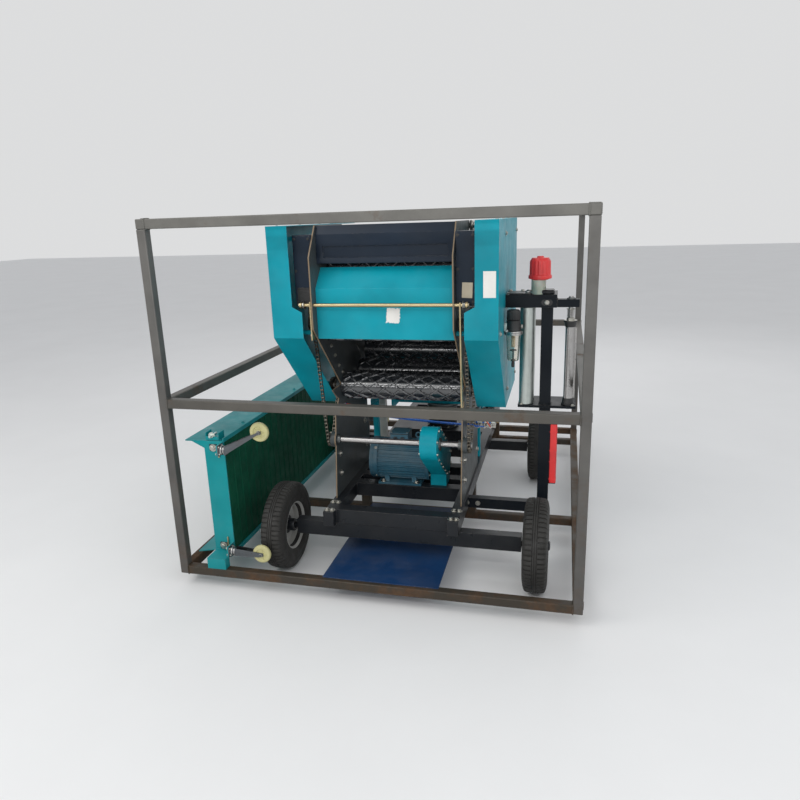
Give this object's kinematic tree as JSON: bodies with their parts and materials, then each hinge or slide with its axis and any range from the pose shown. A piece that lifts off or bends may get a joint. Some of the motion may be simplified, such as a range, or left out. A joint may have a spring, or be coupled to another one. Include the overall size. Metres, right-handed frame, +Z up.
{
  "type": "bale wrapper",
  "caption": "Small towed round baler and bale wrapper in a welded transport frame, with ribbed rollers, wrapping table and film stretcher.",
  "frame": {"origin": "on the floor, at the middle of the transport frame's outline", "axes": "+Y from the feed inlet to the wrapping table, +X to the right seen from the inlet, +Z up"},
  "size_m": [1.8, 2.35, 1.645],
  "materials": {
    "frame_paint": "dark grey paint with rust tint on the rails",
    "chassis_paint": "semi gloss near black paint",
    "teal_paint": "semi gloss turquoise paint",
    "plate_paint": "grey green paint",
    "roller_paint": "glossy black paint",
    "bright_steel": "turned steel",
    "zinc": "yellow passivated zinc",
    "chain_steel": "oiled steel",
    "aluminium": "anodised",
    "tyre": "moulded tread",
    "belt_rubber": "dark green belt",
    "caster_plastic": "cream nylon",
    "cabinet_paint": "light grey powder coat",
    "motor_paint": "machine grey",
    "deck_blue": "dark blue sheet",
    "pipe_blue": "blue air tube"
  },
  "bodies": {
    "root": {"transport_posts": "frame_paint", "transport_rails": "frame_paint", "transport_bearers": "frame_paint", "deck_sheet": "deck_blue", "chassis": "chassis_paint", "front_axle": "chassis_paint", "side_plate_left": "plate_paint", "side_plate_right": "plate_paint", "guard_left": "teal_paint", "guard_right": "teal_paint", "inlet_baffle": "teal_paint", "binder_box": "chassis_paint", "drive_chains": "chain_steel", "drive_motor": "motor_paint", "drive_case": "teal_paint", "control_cabinet": "cabinet_paint", "air_fittings": "bright_steel", "air_pipes": "pipe_blue", "film_mast": "chassis_paint", "table_base": "chassis_paint", "bale_ramp": "teal_paint", "conveyor_frame": "teal_paint", "caster_forks": "bright_steel", "conveyor_belt": "belt_rubber"},
    "steer_axle": {"steer_axle": "chassis_paint"},
    "wheel_front_left": {"tyres_front_left": "tyre"},
    "wheel_front_right": {"tyres_front_right": "tyre"},
    "wheel_rear_left": {"tyres_rear_left": "tyre"},
    "wheel_rear_right": {"tyres_rear_right": "tyre"},
    "drive_shaft": {"drive_shaft": "bright_steel"},
    "roller_1": {"roller_1": "roller_paint"},
    "roller_2": {"roller_2": "roller_paint"},
    "roller_3": {"roller_3": "roller_paint"},
    "roller_4": {"roller_4": "roller_paint"},
    "roller_5": {"roller_5": "roller_paint"},
    "roller_6": {"roller_6": "roller_paint"},
    "roller_7": {"roller_7": "roller_paint"},
    "gate": {"gate_plates": "plate_paint"},
    "gate_roller_1": {"gate_roller_1": "roller_paint"},
    "gate_roller_2": {"gate_roller_2": "roller_paint"},
    "gate_roller_3": {"gate_roller_3": "roller_paint"},
    "gate_roller_4": {"gate_roller_4": "roller_paint"},
    "gate_roller_5": {"gate_roller_5": "roller_paint"},
    "gate_roller_6": {"gate_roller_6": "roller_paint"},
    "barrel_left": {"gate_barrel_left": "bright_steel"},
    "rod_left": {"gate_rod_left": "bright_steel"},
    "barrel_right": {"gate_barrel_right": "bright_steel"},
    "rod_right": {"gate_rod_right": "bright_steel"},
    "lever_shaft": {"lever_shaft": "zinc"},
    "turntable": {"turntable": "teal_paint"},
    "table_roller_1": {"table_roller_1": "roller_paint"},
    "table_roller_2": {"table_roller_2": "roller_paint"},
    "stretch_roller_1": {"stretch_roller_1": "aluminium"},
    "stretch_roller_2": {"stretch_roller_2": "aluminium"},
    "film_spindle": {"film_spindle": "aluminium"},
    "cabinet_door": {"cabinet_door": "cabinet_paint"},
    "caster_1": {"caster_1": "caster_plastic"},
    "caster_2": {"caster_2": "caster_plastic"},
    "caster_3": {"caster_3": "caster_plastic"},
    "caster_4": {"caster_4": "caster_plastic"}
  },
  "joints": [
    {"name": "steer", "type": "hinge", "parent": "root", "child": "steer_axle", "pos_m": [0.05, 0.425, 0.2075], "axis": [0, 0, 1], "range_deg": [-20, 20]},
    {"name": "wheel_front_left_spin", "type": "hinge", "parent": "root", "child": "wheel_front_left", "pos_m": [-0.48, -0.89, 0.2075], "axis": [1, 0, 0], "continuous": true},
    {"name": "wheel_front_right_spin", "type": "hinge", "parent": "root", "child": "wheel_front_right", "pos_m": [0.7, -0.89, 0.2075], "axis": [1, 0, 0], "continuous": true},
    {"name": "wheel_rear_left_spin", "type": "hinge", "parent": "steer_axle", "child": "wheel_rear_left", "pos_m": [-0.55, 0.425, 0.2075], "axis": [1, 0, 0], "continuous": true},
    {"name": "wheel_rear_right_spin", "type": "hinge", "parent": "steer_axle", "child": "wheel_rear_right", "pos_m": [0.65, 0.425, 0.2075], "axis": [1, 0, 0], "continuous": true},
    {"name": "drive_shaft_turn", "type": "hinge", "parent": "root", "child": "drive_shaft", "pos_m": [0.05, -0.735, 0.6], "axis": [1, 0, 0], "continuous": true},
    {"name": "roller_1_turn", "type": "hinge", "parent": "root", "child": "roller_1", "pos_m": [0.05, -0.58234, 1.47202], "axis": [1, 0, 0], "continuous": true},
    {"name": "roller_2_turn", "type": "hinge", "parent": "root", "child": "roller_2", "pos_m": [0.05, -0.70533, 1.40663], "axis": [1, 0, 0], "continuous": true},
    {"name": "roller_3_turn", "type": "hinge", "parent": "root", "child": "roller_3", "pos_m": [0.05, -0.7911, 1.29685], "axis": [1, 0, 0], "continuous": true},
    {"name": "roller_4_turn", "type": "hinge", "parent": "root", "child": "roller_4", "pos_m": [0.05, -0.8248, 1.16169], "axis": [1, 0, 0], "continuous": true},
    {"name": "roller_5_turn", "type": "hinge", "parent": "root", "child": "roller_5", "pos_m": [0.05, -0.60458, 0.8352], "axis": [1, 0, 0], "continuous": true},
    {"name": "roller_6_turn", "type": "hinge", "parent": "root", "child": "roller_6", "pos_m": [0.05, -0.46663, 0.81582], "axis": [1, 0, 0], "continuous": true},
    {"name": "roller_7_turn", "type": "hinge", "parent": "root", "child": "roller_7", "pos_m": [0.05, -0.33273, 0.85421], "axis": [1, 0, 0], "continuous": true},
    {"name": "gate_open", "type": "hinge", "parent": "root", "child": "gate", "pos_m": [0.05, -0.51, 1.575], "axis": [1, 0, 0], "range_deg": [0, 50]},
    {"name": "gate_roller_1_turn", "type": "hinge", "parent": "gate", "child": "gate_roller_1", "pos_m": [0.05, -0.22602, 0.94375], "axis": [1, 0, 0], "continuous": true},
    {"name": "gate_roller_2_turn", "type": "hinge", "parent": "gate", "child": "gate_roller_2", "pos_m": [0.05, -0.16495, 1.06896], "axis": [1, 0, 0], "continuous": true},
    {"name": "gate_roller_3_turn", "type": "hinge", "parent": "gate", "child": "gate_roller_3", "pos_m": [0.05, -0.16009, 1.20817], "axis": [1, 0, 0], "continuous": true},
    {"name": "gate_roller_4_turn", "type": "hinge", "parent": "gate", "child": "gate_roller_4", "pos_m": [0.05, -0.21227, 1.33733], "axis": [1, 0, 0], "continuous": true},
    {"name": "gate_roller_5_turn", "type": "hinge", "parent": "gate", "child": "gate_roller_5", "pos_m": [0.05, -0.31248, 1.4341], "axis": [1, 0, 0], "continuous": true},
    {"name": "gate_roller_6_turn", "type": "hinge", "parent": "gate", "child": "gate_roller_6", "pos_m": [0.05, -0.44338, 1.48174], "axis": [1, 0, 0], "continuous": true},
    {"name": "barrel_left_tilt", "type": "hinge", "parent": "root", "child": "barrel_left", "pos_m": [-0.326, -0.255, 0.6], "axis": [1, 0, 0], "range_deg": [-8.34, 1]},
    {"name": "rod_left_slide", "type": "slide", "parent": "barrel_left", "child": "rod_left", "axis": [0, -0.0349, 0.9994], "range_m": [0, 0.27492]},
    {"name": "barrel_right_tilt", "type": "hinge", "parent": "root", "child": "barrel_right", "pos_m": [0.426, -0.255, 0.6], "axis": [1, 0, 0], "range_deg": [-8.34, 1]},
    {"name": "rod_right_slide", "type": "slide", "parent": "barrel_right", "child": "rod_right", "axis": [0, -0.0349, 0.9994], "range_m": [0, 0.27492]},
    {"name": "lever_swing", "type": "hinge", "parent": "root", "child": "lever_shaft", "pos_m": [0.05, -0.943, 1.27], "axis": [1, 0, 0], "range_deg": [-15, 5]},
    {"name": "table_turn", "type": "hinge", "parent": "root", "child": "turntable", "pos_m": [0.05, 0.425, 0.48], "axis": [0, 0, 1], "continuous": true},
    {"name": "table_roller_1_turn", "type": "hinge", "parent": "turntable", "child": "table_roller_1", "pos_m": [0.05, 0.265, 0.615], "axis": [1, 0, 0], "continuous": true},
    {"name": "table_roller_2_turn", "type": "hinge", "parent": "turntable", "child": "table_roller_2", "pos_m": [0.05, 0.585, 0.615], "axis": [1, 0, 0], "continuous": true},
    {"name": "stretch_roller_1_turn", "type": "hinge", "parent": "root", "child": "stretch_roller_1", "pos_m": [0.63, -0.625, 0.77], "axis": [0, 0, 1], "continuous": true},
    {"name": "stretch_roller_2_turn", "type": "hinge", "parent": "root", "child": "stretch_roller_2", "pos_m": [0.63, -0.54, 0.77], "axis": [0, 0, 1], "continuous": true},
    {"name": "film_spindle_turn", "type": "hinge", "parent": "root", "child": "film_spindle", "pos_m": [0.815, -0.625, 0.77], "axis": [0, 0, 1], "continuous": true},
    {"name": "cabinet_door_swing", "type": "hinge", "parent": "root", "child": "cabinet_door", "pos_m": [-0.567, 0.282, 0.78], "axis": [0, 0, -1], "range_deg": [0, 110]},
    {"name": "caster_1_roll", "type": "hinge", "parent": "root", "child": "caster_1", "pos_m": [-0.46211, -1.127, 0.753], "axis": [0, 1, 0], "continuous": true},
    {"name": "caster_2_roll", "type": "hinge", "parent": "root", "child": "caster_2", "pos_m": [-0.50411, -1.127, 0.172], "axis": [0, 1, 0], "continuous": true},
    {"name": "caster_3_roll", "type": "hinge", "parent": "root", "child": "caster_3", "pos_m": [-0.46211, 0.972, 0.753], "axis": [0, 1, 0], "continuous": true},
    {"name": "caster_4_roll", "type": "hinge", "parent": "root", "child": "caster_4", "pos_m": [-0.50411, 0.972, 0.172], "axis": [0, 1, 0], "continuous": true}
  ],
  "couplings": [
    {"joint": "roller_1_turn", "follows": "drive_shaft_turn", "ratio": 1},
    {"joint": "roller_2_turn", "follows": "drive_shaft_turn", "ratio": 1},
    {"joint": "roller_3_turn", "follows": "drive_shaft_turn", "ratio": 1},
    {"joint": "roller_4_turn", "follows": "drive_shaft_turn", "ratio": 1},
    {"joint": "roller_5_turn", "follows": "drive_shaft_turn", "ratio": 1},
    {"joint": "roller_6_turn", "follows": "drive_shaft_turn", "ratio": 1},
    {"joint": "roller_7_turn", "follows": "drive_shaft_turn", "ratio": 1},
    {"joint": "gate_roller_1_turn", "follows": "drive_shaft_turn", "ratio": 1},
    {"joint": "gate_roller_2_turn", "follows": "drive_shaft_turn", "ratio": 1},
    {"joint": "gate_roller_3_turn", "follows": "drive_shaft_turn", "ratio": 1},
    {"joint": "gate_roller_4_turn", "follows": "drive_shaft_turn", "ratio": 1},
    {"joint": "gate_roller_5_turn", "follows": "drive_shaft_turn", "ratio": 1},
    {"joint": "gate_roller_6_turn", "follows": "drive_shaft_turn", "ratio": 1},
    {"joint": "barrel_left_tilt", "follows": "gate_open", "ratio": -0.14689},
    {"joint": "rod_left_slide", "follows": "gate_open", "m_per_rad": 0.31274},
    {"joint": "barrel_right_tilt", "follows": "gate_open", "ratio": -0.14689},
    {"joint": "rod_right_slide", "follows": "gate_open", "m_per_rad": 0.31274},
    {"joint": "table_roller_2_turn", "follows": "table_roller_1_turn", "ratio": 1},
    {"joint": "stretch_roller_2_turn", "follows": "stretch_roller_1_turn", "ratio": -1.7}
  ]
}
